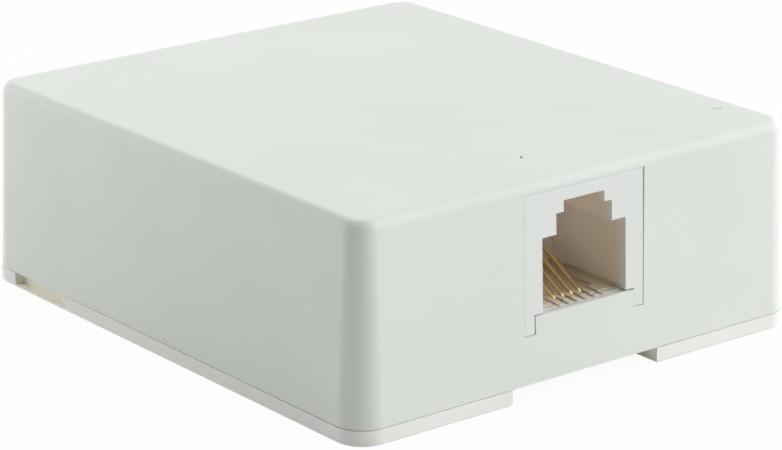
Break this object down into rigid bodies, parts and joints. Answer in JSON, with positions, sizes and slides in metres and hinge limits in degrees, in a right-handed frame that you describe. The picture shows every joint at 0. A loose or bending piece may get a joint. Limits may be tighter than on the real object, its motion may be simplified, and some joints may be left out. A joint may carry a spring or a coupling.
{
  "type": "surface mount jack box",
  "caption": "Low box screwed to a wall, with a modular telephone socket in its front face and screw terminals for the cable under a clip-on cover.",
  "frame": {"origin": "middle of the base's underside, which lies on the wall", "axes": "+Z away from the wall, -Y out of the socket, +X to the right when looking into the socket with the wall underneath"},
  "size_m": [0.0526, 0.059, 0.0204],
  "materials": {
    "cover": "moulded ABS, fine satin",
    "base": "moulded ABS, fine satin",
    "jack": "moulded, smooth",
    "carrier": "moulded, smooth",
    "contacts": "gold plated spring wire",
    "sleeves": "tinned, crimped",
    "forks": "stamped, tinned",
    "washers": "bright zinc",
    "screws": "bright zinc",
    "lead_black": "PVC insulation",
    "lead_red": "PVC insulation",
    "lead_green": "PVC insulation",
    "lead_yellow": "PVC insulation"
  },
  "bodies": {
    "base": {"base": "base", "jack_housing": "jack", "contact_carrier": "carrier", "contact_wire_black": "contacts", "contact_wire_red": "contacts", "contact_wire_green": "contacts", "contact_wire_yellow": "contacts", "sleeve_black": "sleeves", "sleeve_red": "sleeves", "sleeve_green": "sleeves", "sleeve_yellow": "sleeves", "lead_black": "lead_black", "lead_red": "lead_red", "lead_green": "lead_green", "lead_yellow": "lead_yellow", "fork_black": "forks", "fork_red": "forks", "fork_green": "forks", "fork_yellow": "forks", "lower_washer_black": "washers", "lower_washer_red": "washers", "lower_washer_green": "washers", "lower_washer_yellow": "washers"},
    "cover": {"cover": "cover"},
    "washer_black": {"upper_washer_black": "washers"},
    "screw_black": {"terminal_screw_black": "screws"},
    "washer_red": {"upper_washer_red": "washers"},
    "screw_red": {"terminal_screw_red": "screws"},
    "washer_green": {"upper_washer_green": "washers"},
    "screw_green": {"terminal_screw_green": "screws"},
    "washer_yellow": {"upper_washer_yellow": "washers"},
    "screw_yellow": {"terminal_screw_yellow": "screws"}
  },
  "joints": [
    {"name": "cover_swing", "type": "hinge", "parent": "base", "child": "cover", "pos_m": [0, -0.02946, 0.00157], "axis": [1, 0, 0], "range_deg": [0, 85]},
    {"name": "washer_lift_black", "type": "slide", "parent": "base", "child": "washer_black", "axis": [0, 0, 1], "range_m": [0, 0.00238]},
    {"name": "screw_turn_black", "type": "hinge", "parent": "washer_black", "child": "screw_black", "pos_m": [-0.015, 0.001, 0.0086], "axis": [0, 0, 1], "range_deg": [0, 1080]},
    {"name": "washer_lift_red", "type": "slide", "parent": "base", "child": "washer_red", "axis": [0, 0, 1], "range_m": [0, 0.00238]},
    {"name": "screw_turn_red", "type": "hinge", "parent": "washer_red", "child": "screw_red", "pos_m": [-0.015, 0.017, 0.0086], "axis": [0, 0, 1], "range_deg": [0, 1080]},
    {"name": "washer_lift_green", "type": "slide", "parent": "base", "child": "washer_green", "axis": [0, 0, 1], "range_m": [0, 0.00238]},
    {"name": "screw_turn_green", "type": "hinge", "parent": "washer_green", "child": "screw_green", "pos_m": [0.015, 0.017, 0.0086], "axis": [0, 0, 1], "range_deg": [0, 1080]},
    {"name": "washer_lift_yellow", "type": "slide", "parent": "base", "child": "washer_yellow", "axis": [0, 0, 1], "range_m": [0, 0.00238]},
    {"name": "screw_turn_yellow", "type": "hinge", "parent": "washer_yellow", "child": "screw_yellow", "pos_m": [0.015, 0.001, 0.0086], "axis": [0, 0, 1], "range_deg": [0, 1080]}
  ],
  "couplings": [
    {"joint": "screw_turn_black", "follows": "washer_lift_black", "rad_per_m": 7913.3},
    {"joint": "screw_turn_red", "follows": "washer_lift_red", "rad_per_m": 7913.3},
    {"joint": "screw_turn_green", "follows": "washer_lift_green", "rad_per_m": 7913.3},
    {"joint": "screw_turn_yellow", "follows": "washer_lift_yellow", "rad_per_m": 7913.3}
  ]
}
